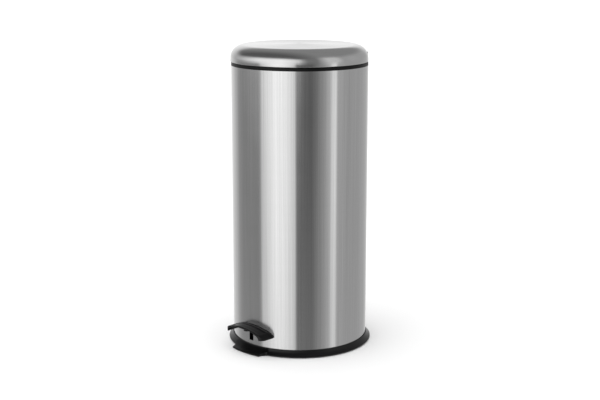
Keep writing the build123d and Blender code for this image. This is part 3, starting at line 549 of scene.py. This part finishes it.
eased(hinge_housing, 0.0008, 6)
chamber = [
    (-chamber_half_width, 0.138), (chamber_half_width, 0.138),
    (chamber_half_width, 0.166), (-chamber_half_width, 0.166),
]
joined(hinge_housing, pulled("chamber", chamber, 0.5976, 0.640), "DIFFERENCE")
smooth(hinge_housing, 50.0)
dress(hinge_housing, moulded("housing_plastic", (0.0060, 0.0060, 0.0064), 0.42, 1300.0, 0.16))
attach(hinge_housing, "bin")
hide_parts("rear_housing")
dress(nodes["housing_screws"], screw_zinc)
dress(nodes["hinge_pin"], bright_steel)

# ---------------------------------------------------------------- Lid
# A shallow dome of the same stainless steel, spun on a former and polished round and round. Its lower
# edge is folded inside into a hem, and a gap is cut at the back for the hinge arm.

lid_radius, lid_middle = 0.1473, -0.001
lid_edge, shoulder_foot, shoulder_top, lid_crown = 0.6128, 0.6205, 0.6480, 0.6500
shoulder_run, shoulder_lean = 0.030, 0.0005


def dome(inset):
    """The lid's curve from the foot of its shoulder to the crown, moved in by the inset."""
    curve = []
    for step in range(33):
        lean = math.radians(90.0 * step / 32)
        rise = shoulder_top - shoulder_foot - inset
        curve.append((lid_radius - shoulder_lean - shoulder_run + (shoulder_run - inset) * math.cos(lean),
                      shoulder_foot + rise * math.sin(lean)))
    edge = curve[-1][0]
    for step in range(1, 25):
        share = step / 24
        lift = (lid_crown - shoulder_top) * share * share * (3.0 - 2.0 * share)
        curve.append((edge * (1.0 - share), shoulder_top - inset + lift))
    return curve


sheet = 0.0007
hem = [(lid_radius - sheet, 0.6150), (lid_radius - 0.0013, 0.6140), (lid_radius - 0.0015, 0.6168),
       (lid_radius - 0.0021, 0.6168), (lid_radius - 0.0021, 0.6140)]
fold = through((lid_radius - 0.0019, 0.6133), (lid_radius - 0.00105, lid_edge), (lid_radius, 0.6138), 8)
steel_lid = turned("steel_lid", [*hem, *fold, *dome(0.0), *reversed(dome(sheet))], middle_y=lid_middle)
gap = [
    (-chamber_half_width, 0.130), (chamber_half_width, 0.130),
    (chamber_half_width, 0.160), (-chamber_half_width, 0.160),
]
joined(steel_lid, pulled("gap", gap, 0.600, 0.6215), "DIFFERENCE")
smooth(steel_lid)
dress(steel_lid, brushed("lid_satin_steel", 0.62, 0.150, 0.7, 900.0, lines=0.0, weld=False))
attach(steel_lid, "lid")
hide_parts("lid_shell")

# ---------------------------------------------------------------- Lid liner and buffers
# A dark grey plastic liner snapped into the lid hides the back of the steel and stiffens it. Eight ribs
# are moulded on its underside, and three rubber buffers quiet the lid as it closes.

liner_plastic = moulded("liner_plastic", (0.030, 0.031, 0.033), 0.50, 1000.0, 0.20)
dress(nodes["lid_liner"], liner_plastic)
rib_root, rib_depth, rib_width, rib_length, rib_middle = 0.6206, 0.0016, 0.0009, 0.056, 0.067
rib_count = 8
bpy.ops.mesh.primitive_plane_add(size=1.0, location=(0.0, 0.0, rib_root))
liner_ribs = bpy.context.object
liner_ribs.name = "liner_ribs"
bpy.ops.object.mode_set(mode="EDIT")
bpy.ops.transform.resize(value=(rib_width, rib_length, 1.0))
bpy.ops.transform.translate(value=(0.0, -rib_middle, 0.0))
bpy.ops.mesh.extrude_region_move(TRANSFORM_OT_translate={"value": (0.0, 0.0, -rib_depth)})
bpy.ops.mesh.select_all(action="SELECT")
bpy.ops.mesh.normals_make_consistent(inside=False)
for _ in range(rib_count - 1):
    bpy.ops.mesh.select_linked()
    bpy.ops.mesh.duplicate()
    bpy.ops.transform.rotate(
        value=math.radians(360.0 / rib_count), orient_axis="Z", center_override=(0.0, 0.0, 0.0)
    )
bpy.ops.object.mode_set(mode="OBJECT")
bpy.ops.object.transform_apply(location=True, rotation=True, scale=True)
round_off = liner_ribs.modifiers.new("round_off", "BEVEL")
round_off.width = 0.0003
round_off.segments = 2
finish_modifier(liner_ribs, round_off)
smooth(liner_ribs)
dress(liner_ribs, liner_plastic)
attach(liner_ribs, "lid")
dress(nodes["lid_bumpers"], foot_rubber)

# ---------------------------------------------------------------- Hinge arm
# The lid turns on a zinc-plated arm screwed up into the liner. The arm carries the nylon hinge bush and,
# between its two crank plates, the pin that the push rod lifts.

dress(nodes["lid_arm"], sheet_zinc)
dress(nodes["hinge_bush"], natural_nylon)
dress(nodes["crank_pin"], bright_steel)
dress(nodes["arm_screws"], screw_zinc)

# ---------------------------------------------------------------- Inner bucket
# The lift-out bucket, a tapered tub in black polypropylene with a flange that hangs on the rim collar's
# shelf. Two ears on the flange take the wire bail, and three beads round the wall stiffen it.

flange_under, flange_top, flange_edge = 0.6030, 0.6055, 0.1328
floor_under, floor_top = 0.0780, 0.0800
taper_foot, foot_radius, brim_radius = 0.083, 0.1169, 0.1264
bucket_wall, bead_height = 0.0020, 0.0011
ear_half_width, ear_places = 0.005, (0.1234, 0.1268)
pivot_height, pivot_radius = 0.6093, 0.00190


def wall(height, inset=0.0):
    """How far out the tapered wall stands at a height."""
    share = (height - taper_foot) / (flange_under - taper_foot)
    return foot_radius + (brim_radius - foot_radius) * share - inset


outside = [
    (0.0, floor_under), (0.1118, floor_under),
    *through((0.1125, floor_under), (0.1156, 0.0793), (wall(taper_foot), taper_foot), 6),
]
for bead in (0.16, 0.32, 0.48):
    outside += [
        (wall(bead - 0.004), bead - 0.004), (wall(bead) + bead_height, bead - 0.0015),
        (wall(bead) + bead_height, bead + 0.0015), (wall(bead + 0.004), bead + 0.004),
    ]
outside += [
    (wall(0.598), 0.598), (wall(0.602) + 0.0006, 0.6026), (wall(flange_under) + 0.0018, flange_under),
]
flange = [
    (flange_edge - 0.0005, flange_under), (flange_edge, flange_under + 0.0006),
    (flange_edge, flange_top - 0.0006), (flange_edge - 0.0006, flange_top),
    (0.1250, flange_top), (wall(0.6040, bucket_wall), 0.6046),
]
inside = [(wall(height, bucket_wall), height) for height in (0.5, 0.4, 0.3, 0.2, 0.1)]
inside += [
    *through((wall(0.086, bucket_wall), 0.086), (0.1136, 0.0815), (0.1090, floor_top), 6),
    (0.0, floor_top),
]
inner_bucket = turned("inner_bucket", [*outside, *flange, *inside], steps=200)
ear_side = [
    (-ear_half_width, 0.6045), (ear_half_width, 0.6045), (ear_half_width, 0.6106),
    *through((0.0045, 0.6115), (0.0, 0.6129), (-0.0045, 0.6115), 8), (-ear_half_width, 0.6106),
]
for side in (-1.0, 1.0):
    ear = pulled("ear", ear_side, *sorted(side * place for place in ear_places), along="X")
    joined(inner_bucket, ear, "UNION")
pivot = ringed(pivot_radius, range(0, 360, 15), middle=(0.0, pivot_height))
joined(inner_bucket, pulled("pivot", pivot, -0.14, 0.14, along="X"), "DIFFERENCE")
smooth(inner_bucket)
dress(inner_bucket, moulded("bucket_polypropylene", (0.010, 0.010, 0.011), 0.45, 1000.0, 0.18))
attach(inner_bucket, "bucket")
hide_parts("bucket")

# ---------------------------------------------------------------- Bail
# The bucket's carrying wire: bright steel bent to a half circle, sprung into the two ears, with a grey
# plastic grip moulded on at the middle.

dress(nodes["bucket_bail"], bright_steel)
dress(nodes["bail_grip"], moulded("grip_plastic", (0.10, 0.10, 0.105), 0.50, 1500.0, 0.15))

# ---------------------------------------------------------------- Studio
# The bin stands on a white sweep under one wide soft lamp. White panels, grey flats and black drapes stand
# round it, lower and upper ones, and the steel shows them as upright bands under a dark ceiling.

bpy.ops.mesh.primitive_plane_add(size=60.0)
sweep = bpy.context.object
sweep.name = "studio_floor"
sweep_paint = bpy.data.materials.new("sweep_paint")
sweep_paint.use_nodes = True
sweep_shader = sweep_paint.node_tree.nodes["Principled BSDF"]
sweep_shader.inputs["Base Color"].default_value = (0.93, 0.93, 0.93, 1.0)
sweep_shader.inputs["Roughness"].default_value = 0.9
sweep_shader.inputs["Specular IOR Level"].default_value = 0.0
sweep.data.materials.append(sweep_paint)
sweep.visible_glossy = False

soft_lamp = bpy.data.lights.new("soft_lamp", "SUN")
soft_lamp.energy = 2.9
soft_lamp.angle = math.radians(110.0)
lamp = bpy.data.objects.new("soft_lamp", soft_lamp)
lamp.rotation_euler = (math.radians(8.0), math.radians(-6.0), 0.0)
lamp.visible_glossy = False
bpy.context.scene.collection.objects.link(lamp)

world = bpy.data.worlds.new("studio_walls")
bpy.context.scene.world = world
world.use_nodes = True
tree = world.node_tree
tree.nodes.clear()
place = tree.nodes.new("ShaderNodeTexCoord")
turn = tree.nodes.new("ShaderNodeMapping")
turn.inputs["Rotation"].default_value = (0.0, 0.0, math.radians(45.0))
around = tree.nodes.new("ShaderNodeTexGradient")
around.gradient_type = "RADIAL"
tree.links.new(place.outputs["Generated"], turn.inputs["Vector"])
tree.links.new(turn.outputs["Vector"], around.inputs["Vector"])
brightest = 1.6


def panels(stops):
    """Panels side by side round the bin: (bearing from the camera, right is positive, brightness)."""
    row = tree.nodes.new("ShaderNodeValToRGB")
    tree.links.new(around.outputs["Fac"], row.inputs["Fac"])
    marks = row.color_ramp.elements
    while len(marks) < len(stops):
        marks.new(0.5)
    for mark, (bearing, brightness) in zip(marks, stops):
        mark.position = (bearing + 180.0) / 360.0
    for mark, (bearing, brightness) in zip(marks, stops):
        grey = brightness / brightest
        mark.color = (grey, grey, grey, 1.0)
    return row


lower_row = panels((
    (-180, 1.30), (-166, 1.05), (-135, 0.64), (-122, 0.36), (-110, 0.28), (-73, 0.24),
    (-70, 0.32), (-66, 0.80), (-48, 1.27), (-40, 1.44), (-24, 1.32), (-12, 1.02),
    (-8, 0.86), (-5, 0.16), (0, 0.12), (20, 0.11), (27, 0.20), (33, 0.28),
    (41, 0.37), (52, 0.64), (56, 1.00), (63, 1.12), (66, 0.52), (90, 0.44),
    (120, 0.46), (150, 0.56), (166, 0.85), (180, 1.30),
))
upper_row = panels((
    (-180, 1.02), (-168, 0.98), (-150, 0.80), (-132, 0.56), (-112, 0.64), (-90, 0.95),
    (-70, 1.20), (-30, 1.38), (-12, 1.15), (0, 0.85), (6, 0.45), (14, 0.24),
    (30, 0.24), (40, 0.50), (50, 0.75), (68, 0.72), (80, 0.46), (100, 0.50),
    (125, 0.46), (148, 0.50), (168, 0.86), (180, 1.02),
))


def height_step(direction, low, high):
    """Fades from 0 to 1 as a direction rises from low to high."""
    rise = tree.nodes.new("ShaderNodeVectorMath")
    rise.operation = "DOT_PRODUCT"
    rise.inputs[1].default_value = direction
    tree.links.new(place.outputs["Generated"], rise.inputs[0])
    fade = tree.nodes.new("ShaderNodeMapRange")
    fade.interpolation_type = "SMOOTHSTEP"
    fade.inputs["From Min"].default_value = low
    fade.inputs["From Max"].default_value = high
    tree.links.new(rise.outputs["Value"], fade.inputs["Value"])
    return fade


walls = tree.nodes.new("ShaderNodeMix")
walls.data_type = "RGBA"
tree.links.new(height_step((0.0, 0.0, 1.0), -0.10, 0.03).outputs["Result"], walls.inputs["Factor"])
tree.links.new(lower_row.outputs["Color"], walls.inputs["A"])
tree.links.new(upper_row.outputs["Color"], walls.inputs["B"])
glow = tree.nodes.new("ShaderNodeMix")
glow.data_type = "RGBA"
glow.inputs["B"].default_value = (0.30, 0.30, 0.30, 1.0)
sweep_light = height_step((0.0, 0.0, -1.0), 0.12, 0.40)
sweep_light.inputs["To Max"].default_value = 0.35
tree.links.new(sweep_light.outputs["Result"], glow.inputs["Factor"])
tree.links.new(walls.outputs["Result"], glow.inputs["A"])
roof = tree.nodes.new("ShaderNodeMix")
roof.data_type = "RGBA"
ceiling = height_step((0.247, 0.955, 0.0), -0.40, 0.15)
ceiling.interpolation_type = "LINEAR"
ceiling.inputs["To Min"].default_value = 0.12 / brightest
ceiling.inputs["To Max"].default_value = 0.31 / brightest
tree.links.new(ceiling.outputs["Result"], roof.inputs["B"])
drape_foot = panels((
    (-180, 0.37), (-160, 0.46), (-140, 0.35), (-120, 0.30), (-100, 0.39), (-80, 0.49),
    (-60, 0.54), (-40, 0.58), (-20, 0.58), (0, 0.55), (20, 0.58), (40, 0.66),
    (60, 0.66), (80, 0.60), (100, 0.55), (120, 0.50), (140, 0.43), (160, 0.34),
    (180, 0.37),
))
above = tree.nodes.new("ShaderNodeVectorMath")
above.operation = "DOT_PRODUCT"
above.inputs[1].default_value = (0.0, 0.0, 1.0 / brightest)
tree.links.new(place.outputs["Generated"], above.inputs[0])
over = tree.nodes.new("ShaderNodeMath")
over.operation = "SUBTRACT"
tree.links.new(above.outputs["Value"], over.inputs[0])
tree.links.new(drape_foot.outputs["Color"], over.inputs[1])
drape = tree.nodes.new("ShaderNodeMapRange")
drape.interpolation_type = "SMOOTHSTEP"
drape.inputs["From Min"].default_value = -0.15 / brightest
drape.inputs["From Max"].default_value = 0.15 / brightest
tree.links.new(over.outputs["Value"], drape.inputs["Value"])
tree.links.new(drape.outputs["Result"], roof.inputs["Factor"])
tree.links.new(glow.outputs["Result"], roof.inputs["A"])
room = tree.nodes.new("ShaderNodeBackground")
room.inputs["Strength"].default_value = brightest
tree.links.new(roof.outputs["Result"], room.inputs["Color"])
backdrop = tree.nodes.new("ShaderNodeBackground")
backdrop.inputs["Color"].default_value = (1.0, 1.0, 1.0, 1.0)
sight = tree.nodes.new("ShaderNodeLightPath")
pick = tree.nodes.new("ShaderNodeMixShader")
tree.links.new(sight.outputs["Is Camera Ray"], pick.inputs["Fac"])
tree.links.new(room.outputs["Background"], pick.inputs[1])
tree.links.new(backdrop.outputs["Background"], pick.inputs[2])
out = tree.nodes.new("ShaderNodeOutputWorld")
tree.links.new(pick.outputs["Shader"], out.inputs["Surface"])

camera_data = bpy.data.cameras.new("camera")
camera_data.lens = 70.72
camera_data.sensor_width = 36.0
camera_data.clip_end = 60.0
camera_data.shift_x = 0.00052
camera = bpy.data.objects.new("camera", camera_data)
camera.location = (1.77815, -1.77815, 0.85646)
camera.rotation_euler = (math.radians(77.721), 0.0, math.radians(45.0))
bpy.context.scene.collection.objects.link(camera)
bpy.context.scene.camera = camera
bpy.context.scene.view_settings.view_transform = "Standard"
